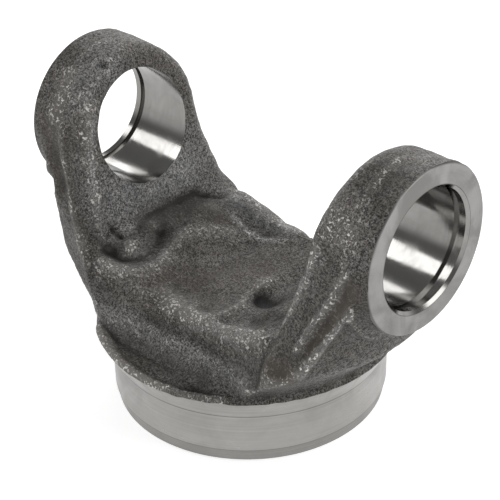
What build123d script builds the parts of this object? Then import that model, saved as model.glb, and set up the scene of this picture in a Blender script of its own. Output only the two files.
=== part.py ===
from build123d import *
from math import atan2, cos, hypot, radians, sin, tan
import os

# Forged weld yoke for a universal joint, all sizes in millimetres.
# The origin is the centre of the spigot's lower face. +Z runs up the shaft
# axis to the ears and +X runs along the cross bores.

# Bearing cup seats
bore_dia = 30.18            # press fit of the bearing cups
cup_span = 106.38           # over the outer ends of the two fitted cups
ring_groove_width = 1.63    # snap ring groove, just outside the cup ends
ring_groove_depth = 1.0
face_margin = 4.11          # from the cup end plane to the machined face
mouth_chamfer = 0.75
bore_height = 63.2          # bore axis above the lower face

# Ears
boss_radius = 21.0
boss_step = 4.7             # the boss stands out this far from the arm
boss_root_radius = 3.0      # hollow between the boss and the arm
inner_gap = 75.2            # between the ears, measured at the bore axis
inner_draft = 12.4          # degrees, the ears open upward
ear_edge_radius = 4.0       # rounding of the inner edges

# Arms
flank_radius = 50.0         # flare of the flanks below the boss
foot_half_width = 30.5      # half width of the arms at the hub
hip_radius = 8.0            # where the flare turns into the foot
heel_radius = 50.4          # from the shaft axis to the corner of the heel
heel_height = 33.8
heel_blend = 6.0
back_lean = 13.5            # degrees, outer surface above the heel
back_root_step = 1.0        # the outer surface swings out this far outside the lip crest
back_root_height = 24.0
back_root_blend = 10.0
back_edge_radius = 1.0

# Saddle between the ears
saddle_height = 32.0
pillow_half_width = 6.0
pillow_radius = 6.0
valley_drop = 1.0           # depth of the two valleys beside the pillow
valley_half_spacing = 10.5
valley_radius = 5.0
shelf_half_width = 24.0
shelf_rise = 4.8            # of the shelf above the saddle
shelf_radius = 6.0
root_rise = 1.5             # from the shelf up to the foot of the inner face
root_radius = 3.5
shoulder_radius = 2.5

# Hub sides, hollowed between the arms above a straight ledge
ledge_foot_half_width = 33.2
ledge_side_rise = 2.0       # from the trough up to where the slope turns flatter
ledge_side_half_width = 30.4
ledge_top_rise = 1.2        # from there up to the ledge
ledge_top_half_width = 28.9
ledge_waist = 28.5          # half width of the hub at the ledge
ledge_end_width = 31.0
waist_top_height = 42.0
waist_top = 19.5            # half width of the hub at that height
waist_end_width = 24.0
root_overlap = 2.5          # the hub reaches this far into the ears

# Each arm is trimmed on one flank, where the dies part
trim_angle = 73.0           # degrees, of the trimmed face's normal from +X
trim_distance = 36.1        # of the trimmed face from the shaft axis

# Flange, with a forged lip around a shallow trough
bevel_width = 3.52          # from the spigot out to the edge of the lip
bevel_height = 6.3          # from the land up to the edge of the lip
lip_land = 0.9              # upright edge of the lip
lip_crest_rise = 1.5        # of the crest above the floor of the trough
lip_crest_inset = 1.07
lip_inner_width = 1.7       # from the crest down to the floor of the trough
trough_rise = 0.3           # of that floor above the edge of the lip
seat_overlap = 0.4          # the arms and the hub reach this far into the flange

# Spigot that centres the tube, with the weld bevel above it
spigot_dia = 72.9
lead_in_height = 3.58
lead_in_depth = 0.65
land_height = 14.2

# Recess in the lower face
recess_dia = 52.0
recess_depth = 13.0
recess_draft = 8.0          # degrees
recess_corner_radius = 6.0

face_x = cup_span / 2 + face_margin
arm_x = face_x - boss_step
spigot_radius = spigot_dia / 2
lip_radius = spigot_radius + bevel_width
lip_edge_height = land_height + bevel_height
trough_height = lip_edge_height + trough_rise
lip_crest_height = trough_height + lip_crest_rise
ledge_side_height = trough_height + ledge_side_rise
ledge_height = ledge_side_height + ledge_top_rise
shelf_height = saddle_height + shelf_rise
root_height = shelf_height + root_rise
lip_crest_radius = lip_radius - lip_crest_inset
top = bore_height + boss_radius
seat = trough_height - seat_overlap
draft = radians(inner_draft)
tiny = 0.01                 # tolerance for picking edges
flank_centre = boss_radius + flank_radius
hip_height = bore_height - (flank_radius**2 - (flank_centre - foot_half_width) ** 2) ** 0.5


def inner_x(height):
    """Half distance between the inner faces of the ears at a height."""
    return inner_gap / 2 + tan(draft) * (height - bore_height)


# Flange and spigot, turned about the shaft axis. The flange has a shallow
# trough inside its forged lip, and the weld bevel below it.
with BuildPart() as base:
    with BuildSketch(Plane.XZ):
        with BuildLine():
            Polyline(
                (0, 0),
                (spigot_radius - lead_in_depth, 0),
                (spigot_radius, lead_in_height),
                (spigot_radius, land_height),
                (lip_radius, lip_edge_height),
                (lip_radius, lip_edge_height + lip_land),
                (lip_crest_radius, lip_crest_height),
                (lip_crest_radius - lip_inner_width, trough_height),
                (0, trough_height),
                close=True,
            )
        make_face()
    revolve(axis=Axis.Z)

# The die for the backs of both arms is one surface of revolution. Its lower
# blend is limited by the short wall below it.
back_top = heel_radius + tan(radians(back_lean)) * (top - heel_height)
root_swing = atan2(heel_radius - lip_crest_radius - back_root_step, heel_height - back_root_height)
root_turn = root_swing - atan2(back_root_step, back_root_height - seat)
root_wall = hypot(back_root_step, back_root_height - seat)
root_blend = min(back_root_blend, 0.95 * root_wall / tan(root_turn / 2))
with BuildPart() as backs:
    with BuildSketch(Plane.XZ):
        with BuildLine():
            back_line = FilletPolyline(
                (lip_crest_radius, seat),
                (lip_crest_radius + back_root_step, back_root_height),
                (heel_radius, heel_height),
                (back_top, top),
                radius=[root_blend, heel_blend],
            )
            Polyline(back_line @ 1, (0, top), (0, seat), back_line @ 0)
        make_face()
    revolve(axis=Axis.Z)

# Side view shared by the arms and the boss roots: a round boss on flanks that
# flare down to the foot.
with BuildSketch(Plane.YZ) as side_view:
    with BuildLine():
        foot_line = Line((-foot_half_width, seat), (-foot_half_width, hip_height))
        flank_line = RadiusArc(foot_line @ 1, (-boss_radius, bore_height), -flank_radius)
        boss_line = ThreePointArc(flank_line @ 1, (0, top), (boss_radius, bore_height))
        far_flank = RadiusArc(boss_line @ 1, (foot_half_width, hip_height), -flank_radius)
        Polyline(far_flank @ 1, (foot_half_width, seat), foot_line @ 0)
    make_face()
    hips = side_view.vertices().filter_by(lambda v: abs(v.Y - hip_height) < tiny)
    fillet(hips, hip_radius)

# One arm. The inner face has the draft of the punch and a rounded edge, and
# the back is cut by its die.
punch_side = Plane(
    origin=(inner_gap / 2, 0, bore_height),
    x_dir=(0, 1, 0),
    z_dir=(cos(draft), 0, -sin(draft)),
)
with BuildPart() as arm:
    extrude(side_view.sketch, amount=arm_x)
    split(bisect_by=punch_side, keep=Keep.TOP)
    inner_face = arm.faces().filter_by(GeomType.PLANE).sort_by(Axis.X)[0]
    fillet(inner_face.edges().filter_by(lambda e: e.center().Z > seat + tiny), ear_edge_radius)
    add(backs.part, mode=Mode.INTERSECT)
    back_edges = arm.edges().filter_by(
        lambda e: e.geom_type != GeomType.LINE
        and abs(e.center().Y) > 0.7 * boss_radius
        and e.center().X > inner_x(e.center().Z) + 1.2 * ear_edge_radius
    )
    fillet(back_edges, back_edge_radius)

# The hub between the arms. Its sides are hollowed, and the punch leaves a
# shelf at the root of each ear, a valley beside it and a low pillow between.
hub_end = inner_x(root_height) + root_overlap
with BuildPart() as hub:
    for height, waist, end_width in (
        (ledge_height, ledge_waist, ledge_end_width),
        (waist_top_height, waist_top, waist_end_width),
    ):
        with BuildSketch(Plane.XY.offset(height)):
            with BuildLine():
                near_side = ThreePointArc((-hub_end, -end_width), (0, -waist), (hub_end, -end_width))
                far_side = ThreePointArc((hub_end, end_width), (0, waist), (-hub_end, end_width))
                Line(near_side @ 1, far_side @ 0)
                Line(far_side @ 1, near_side @ 0)
            make_face()
    loft(ruled=True)
    with BuildSketch(Plane.XZ):
        with BuildLine():
            punch_line = FilletPolyline(
                (-inner_x(top), top),
                (-inner_x(root_height), root_height),
                (-shelf_half_width, shelf_height),
                (-valley_half_spacing, saddle_height - valley_drop),
                (-pillow_half_width, saddle_height),
                (pillow_half_width, saddle_height),
                (valley_half_spacing, saddle_height - valley_drop),
                (shelf_half_width, shelf_height),
                (inner_x(root_height), root_height),
                (inner_x(top), top),
                radius=[root_radius, shelf_radius, valley_radius, pillow_radius,
                        pillow_radius, valley_radius, shelf_radius, root_radius],
            )
            Line(punch_line @ 1, punch_line @ 0)
        make_face()
    extrude(amount=2 * foot_half_width, both=True, mode=Mode.SUBTRACT)
    shoulders = hub.edges().filter_by(
        lambda e: abs(e.center().Y) > waist_top / 2
        and ledge_height + tiny < e.center().Z < waist_top_height - tiny
        and abs(e.center().X) < hub_end - tiny
    )
    fillet(shoulders, shoulder_radius)
    add(backs.part, mode=Mode.INTERSECT)

# The foot pad carries the hub and the arms on the flange. Its sides slope up
# to the ledge.
with BuildPart() as foot_pad:
    with BuildSketch(Plane.YZ):
        Polygon(
            (-ledge_foot_half_width, seat),
            (ledge_foot_half_width, seat),
            (ledge_side_half_width, ledge_side_height),
            (ledge_top_half_width, ledge_height),
            (-ledge_top_half_width, ledge_height),
            (-ledge_side_half_width, ledge_side_height),
            align=None,
        )
    extrude(amount=hub_end, both=True)
    add(backs.part, mode=Mode.INTERSECT)

# The trimmed flank: everything outside one upright plane, above the lip and
# inside the face of the arm.
trim_across = radians(trim_angle)
trim_start = (inner_gap / 4, (trim_distance - cos(trim_across) * inner_gap / 4) / sin(trim_across))
trim_end = (arm_x, (trim_distance - cos(trim_across) * arm_x) / sin(trim_across))
with BuildPart() as trim:
    with BuildSketch(Plane.XY.offset(lip_crest_height)):
        Polygon(
            trim_start,
            trim_end,
            (arm_x, 2 * foot_half_width),
            (inner_gap / 4, 2 * foot_half_width),
            align=None,
        )
    extrude(amount=top - lip_crest_height)

# The boss stands out from the arm, with a hollow root kept inside the flanks.
bore_plane = Plane.XY.offset(bore_height)
bore_axis = Axis((0, 0, bore_height), (1, 0, 0))
with BuildPart() as boss:
    with BuildSketch(bore_plane):
        with BuildLine():
            flare = RadiusArc(
                (arm_x + boss_root_radius, boss_radius),
                (arm_x, boss_radius + boss_root_radius),
                boss_root_radius,
            )
            Polyline(
                flare @ 1,
                (arm_x - boss_step, boss_radius + boss_root_radius),
                (arm_x - boss_step, 0),
                (arm_x + boss_root_radius, 0),
                flare @ 0,
            )
        make_face()
    revolve(axis=bore_axis)
    extrude(side_view.sketch, amount=face_x, mode=Mode.INTERSECT)
    with BuildSketch(Plane.YZ.offset(arm_x - boss_step)):
        with Locations((0, bore_height)):
            Circle(boss_radius)
    extrude(amount=face_x - arm_x + boss_step)

# Forged recess inside the spigot, with a drafted wall and a round corner.
floor_radius = recess_dia / 2 - tan(radians(recess_draft)) * recess_depth
with BuildPart() as recess:
    with BuildSketch(Plane.XZ) as recess_profile:
        with BuildLine():
            Polyline(
                (0, 0),
                (recess_dia / 2, 0),
                (floor_radius, recess_depth),
                (0, recess_depth),
                close=True,
            )
        make_face()
        fillet(recess_profile.vertices().sort_by(Axis.X)[2], recess_corner_radius)
    revolve(axis=Axis.Z)

# Cup bores on one axis, each with its snap ring groove and mouth chamfer.
bore_radius = bore_dia / 2
groove_start = cup_span / 2
groove_end = groove_start + ring_groove_width
with BuildPart() as bores:
    with BuildSketch(bore_plane):
        with BuildLine():
            Polyline(
                (0, 0),
                (0, bore_radius),
                (groove_start, bore_radius),
                (groove_start, bore_radius + ring_groove_depth),
                (groove_end, bore_radius + ring_groove_depth),
                (groove_end, bore_radius),
                (face_x - mouth_chamfer, bore_radius),
                (face_x + mouth_chamfer, bore_radius + 2 * mouth_chamfer),
                (face_x + mouth_chamfer, 0),
                close=True,
            )
        make_face()
    revolve(axis=bore_axis)
    mirror(about=Plane.YZ)

# The whole forging, then the machined faces.
with BuildPart() as yoke:
    add(base.part)
    add(foot_pad.part)
    add(hub.part)
    with PolarLocations(0, 2):
        add(arm.part)
        add(trim.part, mode=Mode.SUBTRACT)
    with PolarLocations(0, 2):
        add(boss.part)
    add(recess.part, mode=Mode.SUBTRACT)
    add(bores.part, mode=Mode.SUBTRACT)

os.makedirs("parts", exist_ok=True)
yoke.part.label = "weld_yoke"
export_step(yoke.part, "parts/weld_yoke.step")
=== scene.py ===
import logging
import math
from dataclasses import dataclass
from enum import Enum

import bmesh
import bpy
import numpy as np
from bpy.types import Material, Mesh, Node, NodeSocket as Socket, NodeTree, Object
from mathutils import Matrix, Vector, kdtree, noise


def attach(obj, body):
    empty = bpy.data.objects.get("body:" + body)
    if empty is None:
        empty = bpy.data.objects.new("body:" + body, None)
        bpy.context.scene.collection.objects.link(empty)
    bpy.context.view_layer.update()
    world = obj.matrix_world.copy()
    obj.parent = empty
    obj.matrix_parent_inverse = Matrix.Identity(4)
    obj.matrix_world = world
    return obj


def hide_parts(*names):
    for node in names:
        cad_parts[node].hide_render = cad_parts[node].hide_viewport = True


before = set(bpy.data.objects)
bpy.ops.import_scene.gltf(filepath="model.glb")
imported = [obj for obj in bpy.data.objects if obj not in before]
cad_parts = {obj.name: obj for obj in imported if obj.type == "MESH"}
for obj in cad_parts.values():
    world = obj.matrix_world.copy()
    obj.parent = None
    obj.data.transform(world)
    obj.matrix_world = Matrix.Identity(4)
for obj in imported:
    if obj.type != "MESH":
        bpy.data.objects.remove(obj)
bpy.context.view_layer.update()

LOG = logging.getLogger("weld_yoke")
NODE = "weld_yoke"
MM = 0.001
SHARP_ANGLE = math.radians(34.0)
MERGE_GAP = 1e-4
MERGE_GAP_M = 1e-6
WHITE = (1.0, 1.0, 1.0)

Point = tuple[float, float, float]
Span = tuple[float, float]


class Surface(Enum):
    """The finishes on the yoke, in the order of its material slots."""

    SCALE = 0
    FACED = 1
    BORED = 2
    TURNED = 3


# ---- mesh helpers


def bmesh_to_object(bm: bmesh.types.BMesh, name: str) -> Object:
    """Puts a finished bmesh into a new linked object and frees it.

    Args:
        bm: The mesh to store.
        name: The object's name.

    Returns:
        The new object, at the origin.
    """
    mesh = bpy.data.meshes.new(name)
    bm.to_mesh(mesh)
    bm.free()
    obj = bpy.data.objects.new(name, mesh)
    bpy.context.scene.collection.objects.link(obj)
    return obj


def spun(name: str, profile: list[Span], axis: Point, steps: int) -> Object:
    """Turns a closed profile of (radius, height) points about an axis through the origin.

    Args:
        name: The object's name.
        profile: Corners of the section, in order, as radius and height along the axis.
        axis: Unit axis, either +Z or +X.
        steps: Segments in the full turn.

    Returns:
        A closed object with outward normals.
    """
    bm = bmesh.new()
    along_z = abs(axis[2]) > 0.5
    corners = [bm.verts.new((r, 0.0, h) if along_z else (h, r, 0.0)) for r, h in profile]
    edges = [bm.edges.new((a, b)) for a, b in zip(corners, corners[1:] + corners[:1])]
    turn = {"angle": 2.0 * math.pi, "steps": steps, "use_merge": True}
    bmesh.ops.spin(bm, geom=corners + edges, cent=(0.0, 0.0, 0.0), axis=axis, **turn)
    bmesh.ops.remove_doubles(bm, verts=bm.verts[:], dist=MERGE_GAP)
    bmesh.ops.recalc_face_normals(bm, faces=bm.faces[:])
    return bmesh_to_object(bm, name)


def moved(obj: Object, offset: Point) -> Object:
    """Shifts an object's mesh by an offset and returns the object."""
    obj.data.transform(Matrix.Translation(offset))
    return obj


def bake_modifiers(obj: Object) -> None:
    """Replaces an object's mesh by its evaluated mesh and clears its modifiers."""
    graph = bpy.context.evaluated_depsgraph_get()
    mesh = bpy.data.meshes.new_from_object(obj.evaluated_get(graph))
    obj.modifiers.clear()
    obj.data = mesh


def discard(*objects: Object) -> None:
    """Removes helper objects from the scene."""
    for obj in objects:
        bpy.data.objects.remove(obj, do_unlink=True)


def rows_of(items: bpy.types.bpy_prop_collection, name: str, width: int) -> np.ndarray:
    """Reads a property of a mesh's vertices or edges as an array of rows."""
    flat = np.empty(len(items) * width, np.int32 if name == "vertices" else np.float32)
    items.foreach_get(name, flat)
    return flat.reshape(-1, width)


def coordinates(mesh: Mesh) -> np.ndarray:
    """Returns the vertices as an array of rows."""
    return rows_of(mesh.vertices, "co", 3).astype(float)


def normals(mesh: Mesh) -> np.ndarray:
    """Returns the vertex normals as an array of rows."""
    return rows_of(mesh.vertices, "normal", 3).astype(float)


def store(mesh: Mesh, points: np.ndarray) -> None:
    """Writes moved vertices back to a mesh."""
    mesh.vertices.foreach_set("co", points.astype(np.float32).ravel())
    mesh.update()


def neighbour_mean(values: np.ndarray, pairs: np.ndarray) -> np.ndarray:
    """Averages each vertex's neighbours.

    Args:
        values: One row for each vertex.
        pairs: The mesh's edges.

    Returns:
        The mean over the neighbours, one row for each vertex.
    """
    count = len(values)
    first, second = pairs[:, 0], pairs[:, 1]
    degree = np.bincount(first, minlength=count) + np.bincount(second, minlength=count)
    columns = values.reshape(count, -1)
    total = np.empty_like(columns)
    for column in range(columns.shape[1]):
        total[:, column] = np.bincount(first, columns[second, column], count)
        total[:, column] += np.bincount(second, columns[first, column], count)
    return (total / np.maximum(degree, 1)[:, None]).reshape(values.shape)


def relaxed(points: np.ndarray, pairs: np.ndarray, rounds: int) -> np.ndarray:
    """Smooths points over the mesh without much loss of volume.

    Args:
        points: The vertices.
        pairs: The mesh's edges.
        rounds: How many pairs of inward and outward steps.

    Returns:
        The smoothed vertices.
    """
    inward, outward = 0.5, 0.52
    for _ in range(rounds):
        points = points + inward * (neighbour_mean(points, pairs) - points)
        points = points - outward * (neighbour_mean(points, pairs) - points)
    return points


def smoothstep(low: float, high: float, values: np.ndarray) -> np.ndarray:
    """Rises smoothly from 0 at low to 1 at high."""
    t = np.clip((values - low) / (high - low), 0.0, 1.0)
    return t * t * (3.0 - 2.0 * t)


# ---- forged forms


@dataclass(frozen=True)
class Stroke:
    """A ridge, hollow or mark that the dies left along a line on the forging.

    The line runs through points in millimetres. Its section is a bell of the
    given half width. A positive height stands out of the surface. In a patch,
    the height is how strong the patch is on the line.
    """

    points: tuple[Point, ...]
    width: float
    height: float

    def share(self, places: np.ndarray) -> np.ndarray:
        """Gives the stroke's height at each place.

        Args:
            places: Points in millimetres, one for each row.

        Returns:
            The bell-shaped height, one value for each place.
        """
        line = np.array(self.points, float)
        nearest = np.full(len(places), np.inf)
        if len(line) == 1:
            nearest = np.linalg.norm(places - line[0], axis=1)
        for start, end in zip(line[:-1], line[1:]):
            run = end - start
            t = np.clip((places - start) @ run / (run @ run), 0.0, 1.0)
            gap = np.linalg.norm(places - start - t[:, None] * run, axis=1)
            nearest = np.minimum(nearest, gap)
        return self.height * np.exp(-((nearest / self.width) ** 2))


def strokes(*rows: tuple[tuple[Point, ...], float, float]) -> tuple[Stroke, ...]:
    """Makes strokes from rows of a line's points, half width and height."""
    return tuple(Stroke(*row) for row in rows)


def strongest(marks: tuple[Stroke, ...], places: np.ndarray) -> np.ndarray:
    """Gives the largest share of any of the strokes at each place."""
    return np.max([mark.share(places) for mark in marks], axis=0)


# Lines on the forging, in millimetres in the part's frame.
EAR_CREASE = (
    (-31.4, -8.8, 38.6), (-32.2, -4.3, 39.5), (-32.3, 2.3, 39.5), (-32.2, 12.5, 39.5),
    (-30.6, 15.6, 38.1), (-27.6, 17.6, 37.4),
)
SHELF = ((-30.5, -6.0, 38.1), (-30.6, 5.2, 38.1), (-28.7, 10.9, 37.7), (-24.0, 12.0, 36.8))
POCKET = (
    (-29.8, -20.4, 37.4), (-25.8, -20.2, 36.8), (-23.8, -17.0, 36.2), (-23.6, -13.0, 36.2),
    (-25.2, -8.5, 36.9), (-28.0, -5.0, 37.5),
)
POCKET_LIP = (
    (-28.9, -25.5, 35.3), (-23.5, -24.0, 35.9), (-20.3, -20.1, 35.2), (-19.6, -15.7, 34.9),
    (-20.4, -10.6, 35.4),
)
BREAK_LINE = (
    (-21.6, -8.0, 35.8), (-23.0, -1.8, 36.4), (-22.6, 1.8, 36.2), (-20.6, 4.7, 35.3),
    (-18.9, 7.9, 34.6), (-16.8, 10.4, 33.7),
)
HOLLOW = ((-6.2, -15.4, 32.0), (-0.5, -15.1, 32.0), (3.0, -11.6, 32.0))
NEAR_RIM = (
    (-10.5, -20.0, 31.6), (-3.2, -22.3, 32.0), (3.5, -22.8, 32.0), (8.0, -22.1, 31.5),
    (13.3, -22.1, 32.2), (20.4, -23.8, 34.7), (26.4, -24.4, 36.2),
)
RIM_KNOT = ((6.0, -22.6, 31.8), (14.0, -22.6, 32.6), (22.0, -24.0, 35.0))
DIVIDER = (
    (6.5, -20.5, 31.9), (7.8, -16.5, 31.6), (7.7, -11.8, 31.6), (6.8, -7.5, 31.8),
    (5.8, -3.1, 32.0), (5.3, 1.5, 32.0),
)
DIMPLE = ((9.0, -4.6, 31.4), (12.4, -4.9, 32.0))
SIDE_POCKET = ((15.4, -15.7, 33.4), (19.6, -15.5, 35.1), (21.7, -13.6, 35.8))
FAR_RIM = (
    (-24.0, 24.0, 37.0), (-19.5, 23.5, 35.4), (-13.0, 23.5, 33.2), (-8.5, 23.5, 32.2),
    (-4.5, 23.5, 31.6),
)
FAR_PEAK = ((-15.0, 23.5, 34.0), (-10.5, 23.5, 32.5))
FAR_HIP = ((-33.5, 26.0, 41.0), (-30.5, 27.0, 37.6), (-27.5, 25.5, 37.0))
FAR_BAND = (
    (-24.3, 18.2, 36.8), (-19.9, 19.6, 35.1), (-15.7, 20.2, 33.2), (-11.4, 21.4, 31.8),
    (-6.1, 21.6, 32.0),
)
FAR_LINE = (
    (-20.4, 15.0, 35.3), (-14.9, 14.6, 32.9), (-11.8, 16.0, 31.6), (-6.5, 17.2, 31.9),
    (-2.0, 20.3, 32.0),
)
PARTING_LINE = (
    (51.4, -20.9, 64.6), (48.8, -21.1, 59.7), (47.4, -21.5, 56.1), (45.6, -22.1, 52.6),
    (43.7, -23.0, 49.2), (42.3, -24.2, 45.6), (41.0, -25.8, 41.8),
)
OUTER_LINE = (
    (52.7, -21.5, 54.4), (49.4, -22.0, 49.1), (47.6, -23.7, 45.6), (45.7, -25.3, 41.7),
    (44.3, -26.5, 38.8), (42.9, -27.3, 35.7),
)
PANEL = (
    (51.9, -20.9, 60.6), (50.2, -21.2, 56.2), (48.4, -21.8, 52.0), (46.5, -22.8, 48.2),
    (44.7, -24.6, 44.0),
)
FOOT_FLAT = ((35.3, -29.3, 35.6), (38.3, -29.3, 35.7), (40.6, -29.2, 35.2))
ARM_EDGE = (
    (42.6, -20.7, 66.4), (40.1, -21.0, 60.2), (38.0, -21.4, 54.6), (36.3, -22.3, 49.4),
    (33.4, -22.2, 43.8), (30.6, -21.2, 39.4),
)
LEFT_EDGE = (
    (-39.1, -15.4, 70.1), (-37.8, -18.3, 63.0), (-36.6, -19.3, 56.6), (-34.9, -20.1, 50.1),
    (-33.3, -20.8, 43.6), (-31.5, -20.9, 39.0),
)
LEFT_FOLD = (
    (-45.6, -20.6, 67.1), (-45.2, -21.2, 58.7), (-42.4, -22.4, 51.3), (-38.4, -24.5, 44.7),
    (-33.5, -26.6, 38.5),
)
LEFT_FLANK = ((-50.5, -20.2, 66.0), (-49.6, -20.9, 58.7), (-46.2, -22.2, 51.3))
LEFT_HEEL = ((-40.0, -26.0, 42.0), (-34.0, -28.0, 35.0), (-28.0, -28.0, 30.0))
LEFT_CROWN = ((-49.0, -13.7, 79.1), (-48.3, -17.4, 75.0), (-48.4, -20.2, 69.7))
WALL_GROOVE = (
    (-11.8, -27.1, 27.5), (-1.7, -26.8, 27.4), (8.1, -26.5, 28.4), (13.3, -26.8, 28.3),
    (18.3, -27.3, 28.0),
)
WALL_RIDGE = (
    (-25.5, -29.5, 24.7), (-17.7, -28.8, 24.7), (-9.0, -28.1, 25.3), (4.7, -27.8, 25.4),
    (19.2, -28.3, 26.0), (26.5, -28.9, 26.4),
)
WALL_FOOT = (
    (-22.7, -31.5, 22.3), (-13.8, -31.6, 21.8), (-5.9, -31.2, 22.1), (2.3, -31.0, 22.3),
    (14.5, -30.7, 22.6),
)
TROUGH = ((-22.3, -33.8, 22.0), (-12.9, -34.7, 20.8), (-4.9, -34.7, 20.8), (8.1, -33.2, 20.8))
LEDGE_END = ((-26.5, -29.5, 24.6), (-28.5, -27.5, 26.0))
LEFT_FACE = ((-34.2, -14.0, 47.0), (-34.0, -2.0, 46.5), (-34.2, 10.0, 47.0))
LEFT_BROW = ((-43.0, -16.0, 79.0), (-43.0, -8.0, 83.0))
LEFT_RIM = (
    (-36.6, -18.5, 58.5), (-37.6, -18.8, 63.0), (-38.8, -17.8, 68.5), (-40.0, -15.0, 74.5),
)
RIGHT_SIDE = ((49.0, -23.0, 53.0), (45.0, -25.0, 43.0), (38.0, -27.0, 34.0))
HUB_RIGHT = ((22.0, -27.5, 30.0), (34.0, -28.0, 27.0))
LIP = ((-22.0, -33.4, 21.8), (-12.0, -37.8, 21.8), (-2.0, -39.6, 21.6), (8.0, -39.0, 21.6))
RIGHT_CROWN = ((44.4, -17.4, 75.0), (45.4, -18.8, 72.4), (49.0, -18.6, 73.0))
PIT = ((-42.5, -7.8, 82.0),)
KNOB = ((-28.6, -16.0, 37.8),)
CRACK = ((-32.7, -17.4, 40.8), (-31.0, -15.6, 38.3))
RIGHT_CORNER = (
    (49.6, 0.0, 84.2), (49.6, -8.0, 82.6), (49.6, -14.8, 78.1), (49.8, -19.4, 71.2),
    (50.6, -20.9, 64.0),
)
LEFT_CORNER = tuple((-x, y, z) for x, y, z in RIGHT_CORNER)
SADDLE_TINT = ((-16.0, -18.0, 33.0), (-8.0, -8.0, 32.0), (0.0, 4.0, 32.0))
RIGHT_TOP = ((44.5, -4.0, 84.0), (51.0, -4.0, 84.0))

DIE_MARKS = strokes(
    (EAR_CREASE, 1.3, -0.6), (SHELF, 2.6, 0.5), (POCKET, 2.9, -1.8), (POCKET_LIP, 2.2, 0.7),
    (KNOB, 2.4, 0.8), (CRACK, 0.7, -0.9), (BREAK_LINE, 2.2, 0.6), (HOLLOW, 5.0, -0.9),
    (NEAR_RIM, 2.4, 1.2), (DIVIDER, 1.8, 0.7), (DIMPLE, 3.4, -1.9), (SIDE_POCKET, 3.4, -1.1),
    (FAR_RIM, 4.6, 1.5), (FAR_PEAK, 4.6, 0.9), (FAR_BAND, 3.0, 1.0), (FAR_HIP, 3.4, -0.6),
    (FAR_LINE, 1.1, 0.35), (ARM_EDGE, 1.8, 0.5), (PARTING_LINE, 0.9, 1.0),
    (OUTER_LINE, 0.9, 0.7), (PANEL, 2.2, -0.4), (FOOT_FLAT, 2.6, -0.4), (LEFT_EDGE, 1.6, 0.35),
    (LEFT_FOLD, 1.3, 0.7), (LEFT_FLANK, 2.8, -0.6), (WALL_GROOVE, 1.5, -0.5),
    (WALL_RIDGE, 2.6, 0.5), (TROUGH, 2.6, 0.9), (PIT, 1.0, -1.1), (RIGHT_CORNER, 1.1, 0.22),
    (LEFT_CORNER, 1.1, 0.22),
)

SOFT_FORMS = strokes(
    (WALL_FOOT, 4.0, 1.0), (TROUGH, 3.0, 1.0), (LEDGE_END, 4.0, 1.0),
)

SMOOTH_PATCHES = strokes(
    (RIGHT_SIDE, 8.0, 0.5), (HUB_RIGHT, 7.0, 0.45), (SHELF, 3.6, 0.8), (POCKET, 2.6, 1.0),
    (FAR_BAND, 3.2, 0.9), (HOLLOW, 5.0, 0.5), (SIDE_POCKET, 3.4, 0.9), (PANEL, 2.6, 1.0),
    (FOOT_FLAT, 3.4, 1.0), (RIGHT_TOP, 9.0, 0.7), (WALL_FOOT, 2.2, 0.7), (TROUGH, 2.4, 0.6),
)

WORN_GRAINS = strokes(
    (LEFT_RIM, 2.6, 0.9), (LEFT_FACE, 8.0, 0.4), (POCKET_LIP, 3.2, 0.8), (BREAK_LINE, 2.4, 0.6),
    (NEAR_RIM, 3.4, 1.0), (RIM_KNOT, 3.0, 1.0), (RIM_KNOT, 1.6, 1.6), (DIVIDER, 2.0, 0.8),
    (FAR_LINE, 1.0, 0.9), (ARM_EDGE, 2.0, 0.7), (PARTING_LINE, 0.9, 1.0),
    (OUTER_LINE, 0.8, 0.9), (RIGHT_CROWN, 4.6, 1.0), (LEFT_CROWN, 3.6, 1.0),
    (LEFT_EDGE, 1.8, 0.8), (LEFT_FOLD, 1.0, 0.7), (KNOB, 2.6, 0.9), (WALL_RIDGE, 2.4, 0.5),
    (LIP, 1.6, 1.0), (LEFT_CORNER, 1.2, 0.6), (RIGHT_CORNER, 1.2, 0.6),
)

BROWN_PATCHES = strokes(
    (PANEL, 3.0, 0.8), (FOOT_FLAT, 3.4, 0.9), (SHELF, 4.2, 0.6), (LEFT_FLANK, 4.0, 0.8),
    (LEFT_FOLD, 3.0, 0.5), (LEFT_CROWN, 2.6, 0.6), (LIP, 1.6, 0.7), (SADDLE_TINT, 7.0, 0.4),
)

# Painted highlight: a lighter, cooler grey on lit faces, upper slopes and ridges.
PAINTED_HIGHLIGHT_PATCHES = strokes(
    (LEFT_FACE, 9.0, 0.7), (LEFT_BROW, 6.0, 0.5), (FAR_BAND, 3.2, 0.7), (WALL_RIDGE, 2.8, 0.5),
    (LEDGE_END, 4.0, 0.4), (RIM_KNOT, 2.6, 0.4), (POCKET_LIP, 2.0, 0.3),
    (PARTING_LINE, 0.8, 1.0), (OUTER_LINE, 0.7, 0.9), (FAR_LINE, 0.8, 1.0),
    (LEFT_EDGE, 1.0, 0.7), (ARM_EDGE, 1.0, 0.6),
)

# Painted shade: these strokes darken the creases, pits, grooves, the wall under the arm and the
# flanks turned from the lamps.
PAINTED_SHADE_MARKS = strokes(
    (EAR_CREASE, 0.9, 0.5), (SHELF, 3.4, 0.22), (RIGHT_SIDE, 8.0, 0.1), (HUB_RIGHT, 7.0, 0.18),
    (LEFT_FOLD, 5.0, 0.24), (DIMPLE, 2.9, 0.85), (PIT, 1.0, 1.0), (CRACK, 0.7, 1.0),
    (POCKET, 2.2, 0.22), (WALL_GROOVE, 0.9, 0.4), (WALL_FOOT, 1.8, 0.35),
    (LEFT_FLANK, 3.4, 0.35), (LEFT_HEEL, 5.0, 0.25),
)

PATCHES = {
    "smooth_skin": SMOOTH_PATCHES,
    "worn": WORN_GRAINS,
    "brown_skin": BROWN_PATCHES,
    "painted_highlight": PAINTED_HIGHLIGHT_PATCHES,
    "painted_shade": PAINTED_SHADE_MARKS,
}


# ---- forging and machining


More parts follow.
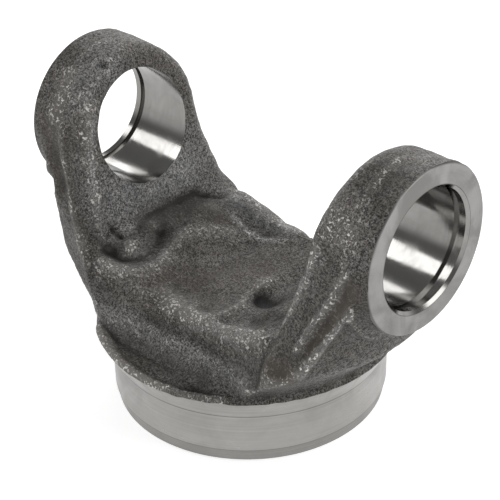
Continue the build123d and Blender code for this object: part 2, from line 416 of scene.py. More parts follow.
@dataclass(frozen=True)
class Machining:
    """The turned, faced and bored surfaces, cut by tools of their exact form."""

    face_x: float = 57.3
    boss_radius: float = 21.0
    face_chamfer: float = 0.35
    bore_height: float = 63.2
    bore_radius: float = 15.09
    bore_start: float = 20.0
    groove_start: float = 53.19
    groove_width: float = 1.63
    groove_depth: float = 1.0
    mouth_chamfer: float = 0.75
    land_radius: float = 36.45
    toe: float = 0.4
    lead_in_depth: float = 0.65
    lead_in_height: float = 3.58
    lead_in_taper: float = 0.12
    shoulder: float = 0.35
    land_height: float = 14.2
    bevel_slope: float = 1.79
    bevel_reach: float = 40.7
    steps: int = 192
    tight: float = 0.02

    def turning_tool(self) -> Object:
        """Cuts the lower face, the lead-in, the land and the weld bevel."""
        below, beside = -4.0, 46.0
        bevel_top = self.land_height + (self.bevel_reach - self.land_radius) * self.bevel_slope
        lead = self.land_radius - self.lead_in_depth
        profile = [
            (0.0, below), (0.0, 0.0), (lead - self.toe, 0.0), (lead, self.toe),
            (lead + self.lead_in_taper, self.lead_in_height - self.shoulder),
            (self.land_radius, self.lead_in_height), (self.land_radius, self.land_height),
            (self.bevel_reach, bevel_top), (beside, bevel_top), (beside, below),
        ]
        return spun("turning_tool", profile, (0.0, 0.0, 1.0), self.steps)

    def facing_tool(self, side: float) -> Object:
        """Cuts the outer face of one ear and breaks its outer edge."""
        chamfer_run, beside, beyond = 2.0, 6.0, 5.0
        rim = self.boss_radius - self.face_chamfer
        profile = [
            (0.0, side * self.face_x), (rim, side * self.face_x),
            (rim + chamfer_run, side * (self.face_x - chamfer_run)),
            (rim + beside, side * (self.face_x - chamfer_run)),
            (rim + beside, side * (self.face_x + beyond)),
            (0.0, side * (self.face_x + beyond)),
        ]
        tool = spun("facing_tool", profile, (1.0, 0.0, 0.0), self.steps)
        return moved(tool, (0.0, 0.0, self.bore_height))

    def boring_tool(self, side: float) -> Object:
        """Cuts one bore with its snap ring groove and mouth chamfer."""
        groove_end = self.groove_start + self.groove_width
        groove_radius = self.bore_radius + self.groove_depth
        mouth = self.face_x - self.mouth_chamfer
        beyond = self.face_x + self.mouth_chamfer
        profile = [
            (0.0, side * self.bore_start), (self.bore_radius, side * self.bore_start),
            (self.bore_radius, side * self.groove_start),
            (groove_radius, side * self.groove_start), (groove_radius, side * groove_end),
            (self.bore_radius, side * groove_end), (self.bore_radius, side * mouth),
            (self.bore_radius + 2.0 * self.mouth_chamfer, side * beyond),
            (0.0, side * beyond),
        ]
        tool = spun("boring_tool", profile, (1.0, 0.0, 0.0), self.steps)
        return moved(tool, (0.0, 0.0, self.bore_height))

    def cut(self, blank: Object) -> None:
        """Takes every tool's shape out of the blank.

        Args:
            blank: The forging, changed in place.
        """
        tools = [self.turning_tool()]
        for side in (1.0, -1.0):
            tools += [self.facing_tool(side), self.boring_tool(side)]
        for tool in tools:
            step = blank.modifiers.new(tool.name, "BOOLEAN")
            step.operation = "DIFFERENCE"
            step.solver = "MANIFOLD"
            step.object = tool
        bake_modifiers(blank)
        discard(*tools)
        LOG.info("machined: %d vertices", len(blank.data.vertices))

    def from_bore(self, place: Vector) -> float:
        """Gives a place's distance from the axis of the bores."""
        return math.hypot(place.y, place.z - self.bore_height)

    def is_faced(self, centre: Vector, normal: Vector) -> bool:
        """Looks for the outer face of an ear and its broken edge.

        Args:
            centre, normal: The face's place and direction.

        Returns:
            Whether the face lies there.
        """
        zone, edge_margin = 2.0, 0.1
        across = abs(centre.x)
        if across <= self.face_x - zone or normal.x * centre.x <= 0:
            return False
        rim = self.boss_radius - self.face_chamfer
        from_bore = self.from_bore(centre)
        off_cone = abs(from_bore - rim - (self.face_x - across))
        on_edge = from_bore > rim - edge_margin and off_cone < 2 * self.tight
        return abs(across - self.face_x) < self.tight or on_edge

    def is_bored(self, centre: Vector, normal: Vector) -> bool:
        """Looks for a bore, its groove and its mouth.

        Args:
            centre, normal: The face's place and direction.

        Returns:
            Whether the face lies there.
        """
        ear_start, wall_share = 30.0, 0.6
        across = abs(centre.x)
        from_bore = self.from_bore(centre)
        if across <= ear_start or from_bore >= self.bore_radius + self.groove_depth + self.tight:
            return False
        inward = -(normal.y * centre.y + normal.z * (centre.z - self.bore_height))
        in_groove = self.groove_start - self.tight < across < self.face_x - self.tight
        return inward > wall_share * from_bore or in_groove

    def is_turned(self, centre: Vector, normal: Vector) -> bool:
        """Looks for the spigot's end, its side and the weld bevel.

        Args:
            centre, normal: The face's place and direction.

        Returns:
            Whether the face lies there.
        """
        base_start, flat = 20.0, -0.99
        side_start, side_share = 30.0, 0.3
        bevel_limit, bevel_margin, bevel_lean = 23.0, 0.12, -0.3
        radius = math.hypot(centre.x, centre.y)
        outward = normal.x * centre.x + normal.y * centre.y
        on_base = centre.z < self.tight and normal.z < flat and radius > base_start
        beside = radius > side_start and outward > side_share * radius
        on_side = beside and centre.z < self.land_height + self.tight
        rise = (radius - self.land_radius) * self.bevel_slope
        off_cone = abs((centre.z - self.land_height) - rise)
        leans = centre.z < bevel_limit and normal.z < bevel_lean
        return on_base or on_side or (leans and off_cone < bevel_margin)

    def surface_of(self, centre: Vector, normal: Vector) -> Surface:
        """Tells which finish a face has, from its place and direction.

        Args:
            centre: The face's centre in millimetres.
            normal: The face's outward normal.

        Returns:
            The surface that the face lies on.
        """
        if self.is_faced(centre, normal):
            return Surface.FACED
        if self.is_bored(centre, normal):
            return Surface.BORED
        if self.is_turned(centre, normal):
            return Surface.TURNED
        return Surface.SCALE


@dataclass(frozen=True)
class ForgedBlank:
    """The forging before it is machined, with its die marks and uneven skin.

    A wave is the height and the length of one kind of unevenness.
    """

    sizes: Machining = Machining()
    voxel: float = 0.6
    stock: float = 1.6
    inner_gap: float = 75.2
    draft: float = math.radians(12.4)
    plug_inset: float = 3.0
    plug_reach: float = 8.0
    plug_clearance: float = 0.05
    cap_depth: float = 4.0
    plug_steps: int = 128
    spigot_top: float = 12.0
    spigot_steps: int = 160
    lip_radius: float = 40.15
    lip_foot: float = 15.0
    lip_edge: float = 20.6
    lip_wall: float = 4.0
    recess_radius: float = 26.3
    recess_edge: float = 1.0
    skin_rounds: int = 6
    soft_rounds: int = 40
    waves: tuple[Span, ...] = ((0.26, 12.0), (0.20, 5.0), (0.12, 2.2))
    lip_wave: Span = (0.28, 3.2)
    lip_low: Span = (18.0, 20.0)
    lip_high: Span = (24.0, 22.5)
    lip_inside: Span = (36.5, 38.0)
    grain_wave: Span = (0.26, 1.15)
    noise_shift: Point = (11.3, 4.7, 8.1)
    seed: int = 7

    def build(self) -> Object:
        """Joins the forging with its machining stock and shapes its skin.

        Returns:
            The blank in millimetres.
        """
        pieces = [self.solid(), *self.plugs(), self.spigot_stock()]
        bpy.context.view_layer.update()
        joined = bmesh.new()
        for piece in pieces:
            joined.from_mesh(piece.data)
        discard(*pieces)
        whole = bmesh_to_object(joined, "forged_blank")
        remesh = whole.modifiers.new("skin", "REMESH")
        remesh.mode = "VOXEL"
        remesh.voxel_size = self.voxel
        bake_modifiers(whole)
        LOG.info("blank: %d vertices", len(whole.data.vertices))
        self.sculpt(whole.data)
        return whole

    def solid(self) -> Object:
        """Copies the frame's solid in millimetres, with its triangles merged."""
        bm = bmesh.new()
        bm.from_mesh(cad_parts[NODE].data)
        bmesh.ops.remove_doubles(bm, verts=bm.verts[:], dist=MERGE_GAP_M)
        bmesh.ops.scale(bm, vec=(1.0 / MM,) * 3, verts=bm.verts[:])
        return bmesh_to_object(bm, "solid_copy")

    def plugs(self) -> list[Object]:
        """Closes both bores up to the drafted inner faces, with stock on the bosses."""
        sizes = self.sizes
        end = sizes.face_x + self.stock
        rods = (
            (sizes.boss_radius - self.plug_inset, end - self.inner_gap / 2 + self.plug_reach),
            (sizes.boss_radius, end - (sizes.face_x - self.cap_depth)),
        )
        lay_down = Matrix.Rotation(math.pi / 2, 4, "Y")
        made = []
        for angle in (0.0, math.pi):  # one ear, then the other by a half turn
            bm = bmesh.new()
            for radius, depth in rods:
                form = {"radius1": radius, "radius2": radius, "depth": depth}
                rod = bmesh.ops.create_cone(bm, cap_ends=True, segments=self.plug_steps, **form)
                middle = Matrix.Translation((end - depth / 2, 0.0, sizes.bore_height))
                bmesh.ops.transform(bm, matrix=middle @ lay_down, verts=rod["verts"])
            cut = bmesh.ops.bisect_plane(
                bm,
                geom=bm.verts[:] + bm.edges[:] + bm.faces[:],
                plane_co=(self.inner_gap / 2 + self.plug_clearance, 0.0, sizes.bore_height),
                plane_no=(math.cos(self.draft), 0.0, -math.sin(self.draft)),
                clear_inner=True,
            )
            rim = [e for e in cut["geom_cut"] if isinstance(e, bmesh.types.BMEdge)]
            bmesh.ops.holes_fill(bm, edges=rim, sides=0)
            turn = Matrix.Rotation(angle, 4, "Z")
            bmesh.ops.transform(bm, matrix=turn, verts=bm.verts[:])
            bmesh.ops.recalc_face_normals(bm, faces=bm.faces[:])
            made.append(bmesh_to_object(bm, "plug"))
        return made

    def spigot_stock(self) -> Object:
        """Adds stock around the spigot, below it and under the lip."""
        outside = self.sizes.land_radius + self.stock
        profile = [
            (self.recess_radius, -self.stock), (outside, -self.stock),
            (outside, self.spigot_top), (self.lip_radius, self.lip_foot),
            (self.lip_radius, self.lip_edge),
            (self.lip_radius - self.lip_wall, self.lip_edge),
            (self.recess_radius, self.recess_edge),
        ]
        return spun("spigot_stock", profile, (0.0, 0.0, 1.0), self.spigot_steps)

    def sculpt(self, mesh: Mesh) -> None:
        """Gives the skin its die marks, soft edges and unevenness.

        Args:
            mesh: The remeshed blank, changed in place.
        """
        pairs = rows_of(mesh.edges, "vertices", 2)
        points = relaxed(coordinates(mesh), pairs, self.skin_rounds)
        soft = strongest(SOFT_FORMS, points)[:, None]
        points = points + soft * (relaxed(points, pairs, self.soft_rounds) - points)
        store(mesh, points)
        outward = normals(mesh)
        for stroke in DIE_MARKS:
            points = points + stroke.share(points)[:, None] * outward
        points = relaxed(points, pairs, 1)
        store(mesh, points)
        outward = normals(mesh)
        points = points + self.unevenness(points)[:, None] * outward
        store(mesh, points)

    def unevenness(self, points: np.ndarray) -> np.ndarray:
        """Works out how far the forged skin wanders from its ideal form.

        Args:
            points: The vertices in millimetres.

        Returns:
            The offset along the normal for each vertex.
        """
        shift = Vector(self.noise_shift) * self.seed
        places = [Vector(point) + shift for point in points]
        offset = np.array(
            [sum(rise * noise.noise(p / length) for rise, length in self.waves) for p in places]
        )
        # The lip has a roughness of its own, which fades out around it.
        lip = smoothstep(*self.lip_low, points[:, 2]) * smoothstep(*self.lip_high, points[:, 2])
        lip *= smoothstep(*self.lip_inside, np.hypot(points[:, 0], points[:, 1]))
        worn = strongest(WORN_GRAINS, points)
        for (rise, length), zone in ((self.lip_wave, lip), (self.grain_wave, worn)):
            rough = np.array([noise.noise(p / length) for p in places])
            offset = offset + rise * zone * rough
        return offset


# ---- node helpers


@dataclass
class NodeSheet:
    """Builds shader nodes in one tree with short calls."""

    tree: NodeTree

    def add(self, kind: str, **values: object) -> Node:
        """Adds a node with its properties and inputs.

        Args:
            kind: The node's type name.
            **values: Properties, or values or links for inputs, with spaces as underscores.

        Returns:
            The new node.
        """
        node = self.tree.nodes.new(kind)
        for name, value in values.items():
            if hasattr(node, name):
                setattr(node, name, value)
            else:
                self.feed(node.inputs[name.replace("_", " ")], value)
        return node

    def feed(self, socket: Socket, value: object) -> None:
        """Links an input to a socket, or gives it a number or a colour.

        Args:
            socket: The input.
            value: An output socket or a plain value.
        """
        if isinstance(value, Socket):
            self.link(value, socket)
        elif isinstance(value, tuple) and socket.type == "RGBA":
            socket.default_value = (*value[:3], 1.0)
        else:
            socket.default_value = value

    def link(self, start: Socket, end: Socket) -> None:
        """Joins an output to an input."""
        self.tree.links.new(start, end)

    def place(self, kind: str = "Object") -> Socket:
        """Gives the shaded point's coordinates of the named kind."""
        return self.add("ShaderNodeTexCoord").outputs[kind]

    def show(self, shader: Socket, kind: str = "ShaderNodeOutputMaterial") -> None:
        """Makes a shader the surface of the material or the world."""
        self.add(kind, Surface=shader)

    def math(self, operation: str, first: object, second: object = 0.0, **more: bool) -> Socket:
        """Adds a Math node.

        Args:
            operation: The node's operation.
            first, second: Sockets or numbers.
            **more: Other properties, such as use_clamp.

        Returns:
            The result.
        """
        node = self.add("ShaderNodeMath", operation=operation, **more)
        for socket, value in zip(node.inputs, (first, second)):
            self.feed(socket, value)
        return node.outputs[0]

    def mix(self, factor: object, first: object, second: object, blend: str = "MIX") -> Socket:
        """Mixes two colours.

        Args:
            factor: A socket or a number.
            first, second: Sockets or colours.
            blend: The blend type.

        Returns:
            The mixed colour.
        """
        node = self.add("ShaderNodeMix", data_type="RGBA", blend_type=blend)
        sockets = (node.inputs["Factor"], node.inputs[6], node.inputs[7])
        for socket, value in zip(sockets, (factor, first, second)):
            self.feed(socket, value)
        return node.outputs[2]

    def ramp(
        self, value: Socket, low: float, high: float, out_low: float = 0.0, out_high: float = 1.0
    ) -> Socket:
        """Maps a value smoothly from one range to another.

        Args:
            value: The value, held at both ends of the range.
            low, high: The range it comes from.
            out_low, out_high: The range it goes to.

        Returns:
            The new value.
        """
        ends = {"From_Min": low, "From_Max": high, "To_Min": out_low, "To_Max": out_high}
        kind = {"interpolation_type": "SMOOTHSTEP", "Value": value}
        return self.add("ShaderNodeMapRange", **kind, **ends).outputs["Result"]

    def noise(self, place: Socket, scale: float, detail: float, rough: float) -> Socket:
        """Adds a Noise texture and returns its value."""
        values = {"Vector": place, "Scale": scale, "Detail": detail, "Roughness": rough}
        return self.add("ShaderNodeTexNoise", **values).outputs["Fac"]

    def length(self, place: Socket) -> Socket:
        """Gives the length of a vector."""
        node = self.add("ShaderNodeVectorMath", operation="LENGTH", Vector=place)
        return node.outputs["Value"]

    def up(self, place: Socket) -> Socket:
        """Gives the Z part of a vector."""
        return self.add("ShaderNodeSeparateXYZ", Vector=place).outputs["Z"]

    def attribute(self, name: str) -> Socket:
        """Reads a value that the mesh carries."""
        return self.add("ShaderNodeAttribute", attribute_name=name).outputs["Fac"]


def new_material(name: str) -> tuple[Material, NodeSheet]:
    """Starts a material without nodes.

    Args:
        name: The material's name.

    Returns:
        The material and the sheet of its tree.
    """
    material = bpy.data.materials.new(name)
    material.use_nodes = True
    material.node_tree.nodes.clear()
    return material, NodeSheet(material.node_tree)


def new_group(
    name: str, inputs: dict[str, float], outputs: tuple[str, ...]
) -> tuple[NodeSheet, Node, Node]:
    """Starts a shader node group with named sockets.

    Args:
        name: The group's name.
        inputs: Float inputs and their defaults; the Vector input is always there.
        outputs: Names of the float outputs.

    Returns:
        The group's sheet, and its input and output nodes.
    """
    tree = bpy.data.node_groups.new(name, "ShaderNodeTree")
    tree.interface.new_socket("Vector", in_out="INPUT", socket_type="NodeSocketVector")
    for label, default in inputs.items():
        socket = tree.interface.new_socket(label, in_out="INPUT", socket_type="NodeSocketFloat")
        socket.default_value = default
    for label in outputs:
        tree.interface.new_socket(label, in_out="OUTPUT", socket_type="NodeSocketFloat")
    sheet = NodeSheet(tree)
    return sheet, sheet.add("NodeGroupInput"), sheet.add("NodeGroupOutput")


def grain_group() -> NodeTree:
    """Builds the fine grain of a steel surface.

    Returns:
        The group, with a Height and a Speckle mask.
    """
    fleck_scale, cluster_scale = 1350.0, 330.0
    fleck_edge, cluster_edge, least = (0.54, 0.62), (0.4, 0.62), 0.25
    sheet, start, end = new_group(
        "steel_grain",
        {"Fine Scale": 2700.0, "Coarse Scale": 1250.0, "Coarse Share": 0.36},
        ("Height", "Speckle"),
    )
    place, fine_scale, coarse_scale, share = list(start.outputs)[:4]
    fine = sheet.noise(place, fine_scale, 4.0, 0.62)
    coarse = sheet.noise(place, coarse_scale, 3.0, 0.55)
    low = sheet.math("MULTIPLY", coarse, share)
    rest = sheet.math("SUBTRACT", 1.0, share)
    height = sheet.math("ADD", sheet.math("MULTIPLY", fine, rest), low)
    sheet.link(height, end.inputs["Height"])
    fleck = sheet.noise(place, fleck_scale, 2.0, 0.6)
    cluster = sheet.noise(place, cluster_scale, 2.0, 0.5)
    cluster = sheet.ramp(cluster, *cluster_edge, least, 1.0)
    flecks = sheet.math("MULTIPLY", sheet.ramp(fleck, *fleck_edge), cluster)
    sheet.link(flecks, end.inputs["Speckle"])
    return sheet.tree


def stain_group() -> NodeTree:
    """Builds slow changes of tone over a surface, for scale, oil and handling.

    Returns:
        The group, with a Tone about 0.5.
    """
    sheet, start, end = new_group("slow_stain", {"Scale": 60.0, "Twist": 0.6}, ("Tone",))
    place, scale, twist = list(start.outputs)[:3]
    values = {"Vector": place, "Scale": scale, "Distortion": twist}
    cloud = sheet.add("ShaderNodeTexNoise", Detail=5.0, Roughness=0.6, **values)
    sheet.link(sheet.ramp(cloud.outputs["Fac"], 0.3, 0.7), end.inputs["Tone"])
    return sheet.tree


# ---- finishes


@dataclass(frozen=True)
class ScaleFinish:
    """Dark forge scale with grain, worn bright where the form stands out, with painted shade in
    hollows and creases and painted highlights on lit faces and ridges.
    """

    grain: NodeTree
    stain: NodeTree
    dark: Point = (0.049, 0.0435, 0.037)
    pale: Point = (0.1, 0.0945, 0.088)
    speck: Point = (0.72, 0.70, 0.66)
    brown: Point = (0.078, 0.065, 0.05)
    # The lighter, cooler grey of the painted highlights.
    highlight_grey: Point = (0.168, 0.17, 0.173)
    # Near black of the painted shade in hollows and creases.
    painted_shade_colour: Point = (0.012, 0.010, 0.009)
    stain_scale: float = 70.0
    grain_edge: Span = (0.4, 0.6)
    grain_contrast: Span = (-0.9, 1.35)
    smooth_loss: float = 0.72
    worn_lift: float = 0.13
    edge_lift: float = 0.12
    edge_wear: float = 0.8
    stray_wear: float = 0.12
    hollow_shade_strength: float = 0.75
    metallic: Span = (0.4, 0.95)
    rough_edge: Span = (0.3, 0.7)
    roughness: Span = (0.62, 0.34)
    bump_distance: float = 0.0004

    def build(self) -> Material:
        """Makes the material.

        Returns:
            The forged scale.
        """
        material, sheet = new_material("forge_scale")
        place = sheet.place()
        grain = sheet.add("ShaderNodeGroup", node_tree=self.grain, Vector=place)
        stained = {"node_tree": self.stain, "Vector": place, "Scale": self.stain_scale}
        stain = sheet.add("ShaderNodeGroup", **stained)
        height = grain.outputs["Height"]
        # Little of the grain shows on smooth patches.
        smooth = sheet.math("MULTIPLY", sheet.attribute("smooth_skin"), self.smooth_loss)
        rough_share = sheet.math("SUBTRACT", 1.0, smooth)
        contrast = sheet.ramp(height, *self.grain_edge, *self.grain_contrast)
        level = sheet.math("ADD", 1.0, sheet.math("MULTIPLY", contrast, rough_share))
        grey = sheet.add("ShaderNodeCombineColor", Red=level, Green=level, Blue=level)
        skin = sheet.mix(stain.outputs["Tone"], self.dark, self.pale)
        skin = sheet.mix(1.0, skin, grey.outputs[0], "MULTIPLY")
        skin = sheet.mix(sheet.attribute("brown_skin"), skin, self.brown)
        # Painted highlight: the patches on lit faces and ridges are mixed towards a lighter,
        # cooler grey.
        highlight_grey = sheet.mix(1.0, self.highlight_grey, grey.outputs[0], "MULTIPLY")
        skin = sheet.mix(sheet.attribute("painted_highlight"), skin, highlight_grey)
        worn = sheet.attribute("worn")
        edge = sheet.attribute("convex")
        lift = sheet.math("MULTIPLY", worn, self.worn_lift)
        lift = sheet.math("ADD", lift, sheet.math("MULTIPLY", edge, self.edge_lift))
        skin = sheet.mix(lift, skin, self.speck)
        wear = sheet.math("ADD", sheet.math("MULTIPLY", edge, self.edge_wear), worn)
        wear = sheet.math("ADD", wear, self.stray_wear)
        wear = sheet.math("MULTIPLY", wear, grain.outputs["Speckle"], use_clamp=True)
        skin = sheet.mix(wear, skin, self.speck)
        # Painted shade: concave hollows and the painted shade strokes are mixed towards near
        # black.
        depth = sheet.math("MULTIPLY", sheet.attribute("hollow"), self.hollow_shade_strength)
        depth = sheet.math("ADD", depth, sheet.attribute("painted_shade"), use_clamp=True)
        skin = sheet.mix(depth, skin, self.painted_shade_colour)
        relief = sheet.math("MULTIPLY", height, rough_share)
        bump = sheet.add("ShaderNodeBump", Height=relief, Distance=self.bump_distance)
        bump.inputs["Strength"].default_value = 1.0
        shader = sheet.add(
            "ShaderNodeBsdfPrincipled",
            Base_Color=skin,
            Metallic=sheet.ramp(wear, 0.0, 1.0, *self.metallic),
            Roughness=sheet.ramp(height, *self.rough_edge, *self.roughness),
            Normal=bump.outputs["Normal"],
        )
        sheet.show(shader.outputs["BSDF"])
        return material


@dataclass(frozen=True)
class CutFinish:
    """Bare steel left by a tool, with fine lines in the tool's direction.

    The lines run across the axes with a high scale, or around the bores' axis where ring_scale
    is given. The edge band is how near and how far from an edge its line of painted shade fades,
    and how strong the line is.
    """

    name: str
    stain: NodeTree
    lines: Point = (1.0, 1.0, 1.0)
    ring_scale: float = 0.0
    light: Point = (0.40, 0.39, 0.375)
    dull: Point = (0.28, 0.272, 0.26)
    roughness: Span = (0.42, 0.26)
    tone_edge: Span = (0.2, 0.8)
    stain_scale: float = 90.0
    stain_share: float = 0.65
    edges: tuple[float, ...] = ()
    edge_shade_band: Point = (0.0, 0.0, 0.0)
    edge_shade_colour: Point = (0.05, 0.048, 0.045)
    lead_in: float = 0.0
    lead_in_blur: float = 0.0001
    lead_in_share: float = 0.3
    lead_in_tint: Point = (0.08, 0.078, 0.075)
    bump: float = 0.12
    bump_distance: float = 0.00005

    def build(self) -> Material:
        """Makes the material.

        Returns:
            The machined steel.
        """
        material, sheet = new_material(self.name)
        place = sheet.place()
        stained = {"node_tree": self.stain, "Vector": place, "Scale": self.stain_scale}
        stain = sheet.add("ShaderNodeGroup", **stained)
        level = self.from_axis(sheet, place) if self.ring_scale else sheet.up(place)
        lines = sheet.noise(self.line_place(sheet, place, level), 1.0, 3.0, 0.6)
        slow = sheet.math("MULTIPLY", stain.outputs["Tone"], self.stain_share)
        tone = sheet.math("ADD", slow, sheet.math("MULTIPLY", lines, 1.0 - self.stain_share))
        colour = sheet.mix(tone, self.dull, self.light)
        if self.lead_in:
            low, high = self.lead_in - self.lead_in_blur, self.lead_in + self.lead_in_blur
            below = sheet.ramp(level, low, high, self.lead_in_share, 0.0)
            colour = sheet.mix(below, colour, self.lead_in_tint)
        # Painted shade: a thin dark line along each given edge, at the creases and chamfers.
        near, far, strength = self.edge_shade_band
        for edge in self.edges:
            gap = sheet.math("ABSOLUTE", sheet.math("SUBTRACT", level, edge))
            line = sheet.ramp(gap, near, far, strength, 0.0)
            colour = sheet.mix(line, colour, self.edge_shade_colour)
        depth = {"Strength": self.bump, "Distance": self.bump_distance}
        shader = sheet.add(
            "ShaderNodeBsdfPrincipled",
            Base_Color=colour,
            Metallic=1.0,
            Roughness=sheet.ramp(tone, *self.tone_edge, *self.roughness),
            Normal=sheet.add("ShaderNodeBump", Height=lines, **depth).outputs["Normal"],
        )
        sheet.show(shader.outputs["BSDF"])
        return material

    def from_axis(self, sheet: NodeSheet, place: Socket) -> Socket:
        """Measures from the axis of the bores.

        Args:
            sheet: The material's sheet.
            place: The shaded point.

        Returns:
            The point's distance.
        """
        axis = (0.0, 0.0, Machining().bore_height * MM)
        for operation, value in (("SUBTRACT", axis), ("MULTIPLY", (0.0, 1.0, 1.0))):
            node = sheet.add("ShaderNodeVectorMath", operation=operation, Vector=place)
            node.inputs[1].default_value = value
            place = node.outputs[0]
        return sheet.length(place)

    def line_place(self, sheet: NodeSheet, place: Socket, level: Socket) -> Socket:
        """Stretches the coordinates so that noise on them draws tool lines.

        Args:
            sheet: The material's sheet.
            place: The shaded point.
            level: Its distance from the bores' axis.

        Returns:
            The stretched coordinates.
        """
        if self.ring_scale:
            across = sheet.math("MULTIPLY", level, self.ring_scale)
            return sheet.add("ShaderNodeCombineXYZ", X=across).outputs[0]
        return sheet.add("ShaderNodeMapping", Scale=self.lines, Vector=place).outputs[0]


# ---- the piece


@dataclass(frozen=True)
class Yoke:
    """The whole yoke: forged blank, machined surfaces and finishes."""

    machining: Machining = Machining()
    broad_rounds: int = 14
    swell_rounds: int = 2
    convex_edge: Span = (0.10, 0.42)
    hollow_edge: Span = (0.10, 0.45)

    def build(self) -> Object:
        """Makes the yoke and dresses it.

        Returns:
            The finished piece in metres.
        """
        yoke = ForgedBlank(self.machining).build()
        yoke.name = "yoke_forging"
        masks = self.masks(yoke.data)
        tree = kdtree.KDTree(len(yoke.data.vertices))
        for vertex in yoke.data.vertices:
            tree.insert(vertex.co, vertex.index)
        tree.balance()
        self.machining.cut(yoke)
        mesh = yoke.data
        nearest = [tree.find(vertex.co)[1] for vertex in mesh.vertices]
        for name, values in masks.items():
            layer = mesh.attributes.new(name, "FLOAT", "POINT")
            layer.data.foreach_set("value", values[nearest].astype(np.float32))
        self.dress(mesh)
        mesh.transform(Matrix.Scale(MM, 4))
        return yoke

    def masks(self, mesh: Mesh) -> dict[str, np.ndarray]:
        """Works out where the skin stands out, is hollow or carries a patch.

        Args:
            mesh: The sculpted blank in millimetres.

        Returns:
            A value for each vertex, under each mask's name.
        """
        points = coordinates(mesh)
        pairs = rows_of(mesh.edges, "vertices", 2)
        broad = points
        for _ in range(self.broad_rounds):
            broad = neighbour_mean(broad, pairs)
        swell = np.einsum("ij,ij->i", points - broad, normals(mesh))
        for _ in range(self.swell_rounds):
            swell = neighbour_mean(swell, pairs)
        found = {
            "convex": smoothstep(*self.convex_edge, swell),
            "hollow": smoothstep(*self.hollow_edge, -swell),
        }
        return found | {name: strongest(marks, points) for name, marks in PATCHES.items()}

    def finishes(self) -> tuple[Material, ...]:
        """Makes the materials.

        Returns:
            The materials, in the order of Surface.
        """
        stain = stain_group()
        sizes = self.machining
        mouth_edge = sizes.bore_radius + sizes.mouth_chamfer
        lead_in, bevel = sizes.lead_in_height * MM, sizes.land_height * MM
        return (
            ScaleFinish(grain_group(), stain).build(),
            CutFinish(
                "faced_steel", stain, ring_scale=2500.0, roughness=(0.5, 0.34),
                light=(0.33, 0.325, 0.32), dull=(0.2, 0.195, 0.185),
                edges=(mouth_edge * MM, sizes.boss_radius * MM),
                edge_shade_band=(0.00008, 0.0003, 0.65),
            ).build(),
            CutFinish(
                "bored_steel", stain, lines=(2400.0, 60.0, 60.0), roughness=(0.2, 0.1),
                light=(0.32, 0.315, 0.305), dull=(0.22, 0.215, 0.205),
            ).build(),
            CutFinish(
                "turned_steel", stain, lines=(25.0, 25.0, 2600.0), stain_share=0.3,
                edges=(bevel, lead_in), edge_shade_band=(0.00006, 0.00022, 0.6), lead_in=lead_in,
            ).build(),
        )

    def dress(self, mesh: Mesh) -> None:
        """Gives each face its finish and sets the hard edges.

        Args:
            mesh: The machined mesh, in millimetres.
        """
        mesh.materials.clear()
        for finish in self.finishes():
            mesh.materials.append(finish)
        indices = [
            self.machining.surface_of(Vector(face.center), Vector(face.normal)).value
            for face in mesh.polygons
        ]
        mesh.polygons.foreach_set("material_index", indices)
        mesh.shade_smooth()
        mesh.set_sharp_from_angle(angle=SHARP_ANGLE)


# ---- the studio


@dataclass(frozen=True)
class Lamp:
    """A soft square lamp that points at the middle of the yoke, in metres and watts."""

    name: str
    at: Point
    size: float
    power: float
    aim: Point = (0.0, 0.0, 0.04)

    def build(self) -> None:
        """Hangs the lamp."""
        data = bpy.data.lights.new(self.name, "AREA")
        data.shape = "SQUARE"
        data.size = self.size
        data.energy = self.power
        lamp = bpy.data.objects.new(self.name, data)
        lamp.location = self.at
        way = Vector(self.aim) - Vector(self.at)
        lamp.rotation_euler = way.to_track_quat("-Z", "Y").to_euler()
        bpy.context.scene.collection.objects.link(lamp)


LAMPS = (
    Lamp("key_lamp", (-0.65, -0.45, 0.85), 0.52, 2.9),
    Lamp("side_lamp", (0.75, 0.35, 0.8), 0.7, 5.4),
    Lamp("back_lamp", (-0.55, 0.75, 0.62), 0.6, 3.4),
)


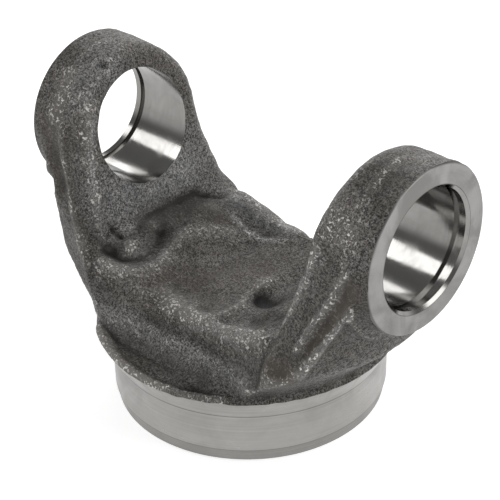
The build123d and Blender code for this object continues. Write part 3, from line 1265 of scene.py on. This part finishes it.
@dataclass(frozen=True)
class Studio:
    """Pale floor, soft lamps and the camera of the photograph."""

    camera_at: Point = (0.22771, -0.22971, 0.23872)
    camera_right: Point = (0.7214, 0.6921, -0.0235)
    camera_back: Point = (0.5986, -0.6062, 0.5236)
    lens: float = 106.29
    sensor: float = 36.0
    nearest: float = 0.01
    floor_reach: float = 4.0
    floor_grey: float = 0.6
    floor_zone: Span = (0.8, 2.0)
    floor_glow: Span = (0.75, 0.95)
    wall_zone: Span = (0.1, 0.4)
    room: float = 0.23

    def camera(self) -> None:
        """Sets the camera in the photograph's place."""
        data = bpy.data.cameras.new("camera")
        data.lens = self.lens
        data.sensor_width = self.sensor
        data.clip_start = self.nearest
        camera = bpy.data.objects.new("camera", data)
        back = Vector(self.camera_back).normalized()
        up = back.cross(Vector(self.camera_right)).normalized()
        right = up.cross(back)
        turn = Matrix((right, up, back)).transposed().to_4x4()
        camera.matrix_world = Matrix.Translation(self.camera_at) @ turn
        bpy.context.scene.collection.objects.link(camera)
        bpy.context.scene.camera = camera

    def seen(self, sheet: NodeSheet, glossy_share: object = 1.0) -> Socket:
        """Marks the rays that show the room as white.

        Args:
            sheet: The sheet to build in.
            glossy_share: The value for mirrored rays, a socket or a number.

        Returns:
            1 for rays from the camera or through glass, and the share in mirrors.
        """
        path = sheet.add("ShaderNodeLightPath")
        seen = sheet.math("MULTIPLY", path.outputs["Is Glossy Ray"], glossy_share)
        seen = sheet.math("MAXIMUM", seen, path.outputs["Is Camera Ray"])
        return sheet.math("MAXIMUM", seen, path.outputs["Is Transmission Ray"])

    def floor(self) -> None:
        """Lays the pale floor, which keeps shadows and shows white where it is lit."""
        bm = bmesh.new()
        bmesh.ops.create_grid(bm, x_segments=1, y_segments=1, size=self.floor_reach)
        floor = bmesh_to_object(bm, "floor")
        material, sheet = new_material("pale_floor")
        diffuse = sheet.add("ShaderNodeBsdfDiffuse", Color=(self.floor_grey,) * 3)
        lift = sheet.ramp(sheet.length(sheet.place()), *self.floor_zone, *self.floor_glow)
        strength = sheet.math("MULTIPLY", self.seen(sheet), lift)
        glow = sheet.add("ShaderNodeEmission", Color=WHITE, Strength=strength)
        both = sheet.add("ShaderNodeAddShader")
        sheet.link(diffuse.outputs[0], both.inputs[0])
        sheet.link(glow.outputs[0], both.inputs[1])
        sheet.show(both.outputs[0])
        floor.data.materials.append(material)

    def world(self) -> None:
        """Sets a grey room, white to the camera and near the horizon in mirrors."""
        world = bpy.data.worlds.new("room")
        bpy.context.scene.world = world
        world.use_nodes = True
        world.node_tree.nodes.clear()
        sheet = NodeSheet(world.node_tree)
        wall = sheet.ramp(sheet.up(sheet.place("Generated")), *self.wall_zone, 1.0, 0.0)
        shown = sheet.math("MULTIPLY", self.seen(sheet, wall), 1.0 - self.room)
        strength = sheet.math("ADD", self.room, shown)
        back = sheet.add("ShaderNodeBackground", Color=WHITE, Strength=strength)
        sheet.show(back.outputs[0], "ShaderNodeOutputWorld")

    def build(self) -> None:
        """Sets up camera, floor, room and lamps."""
        self.camera()
        self.floor()
        self.world()
        for lamp in LAMPS:
            lamp.build()
        bpy.context.scene.view_settings.view_transform = "Standard"


def main() -> None:
    """Builds the yoke and the studio, and reports the piece."""
    logging.basicConfig(level=logging.INFO)
    yoke = Yoke().build()
    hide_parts(NODE)
    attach(yoke, "root")
    LOG.info("%s: %d faces", yoke.name, len(yoke.data.polygons))
    Studio().build()


if __name__ == "__main__":
    main()
